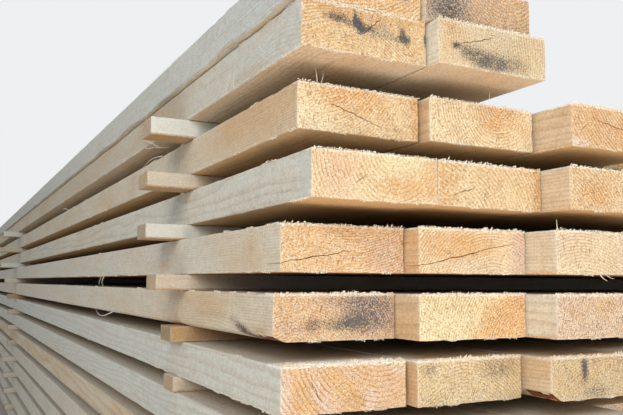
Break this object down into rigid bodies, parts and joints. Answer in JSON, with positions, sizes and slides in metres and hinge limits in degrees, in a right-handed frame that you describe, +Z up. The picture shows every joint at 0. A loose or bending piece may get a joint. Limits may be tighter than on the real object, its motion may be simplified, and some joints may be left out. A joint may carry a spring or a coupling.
{
  "type": "stack of lumber",
  "caption": "Free-standing stack of long rough-sawn softwood planks in level layers, separated by thin cross laths and carried on timber bearers.",
  "frame": {"origin": "centre of the stack's footprint, on the ground under its bearers", "axes": "+Z up, +Y along the boards towards the far end, +X across the boards to the right as seen from the near end, whose staggered board ends face -Y"},
  "size_m": [1.282, 6.1018, 1.068],
  "materials": {
    "rough_sawn_softwood": "rough sawn, unplaned, weathered grey-white on the faces and warm straw to orange on the end grain",
    "lath_softwood": "rough sawn lath, dry and slightly grey",
    "bearer_timber": "rough sawn square timber, weathered brown-grey"
  },
  "bodies": {
    "root": {"boards_layer_01": "rough_sawn_softwood", "boards_layer_02": "rough_sawn_softwood", "boards_layer_03": "rough_sawn_softwood", "boards_layer_04": "rough_sawn_softwood", "boards_layer_05": "rough_sawn_softwood", "boards_layer_06": "rough_sawn_softwood", "boards_layer_07": "rough_sawn_softwood", "boards_layer_08": "rough_sawn_softwood", "boards_layer_09": "rough_sawn_softwood", "boards_layer_10": "rough_sawn_softwood", "boards_layer_11": "rough_sawn_softwood", "boards_layer_12": "rough_sawn_softwood", "boards_layer_13": "rough_sawn_softwood", "boards_layer_14": "rough_sawn_softwood", "laths_near_end": "lath_softwood", "laths_middle": "lath_softwood", "laths_far_end": "lath_softwood", "bearer_near_end": "bearer_timber", "bearer_middle": "bearer_timber", "bearer_far_end": "bearer_timber"}
  },
  "joints": []
}
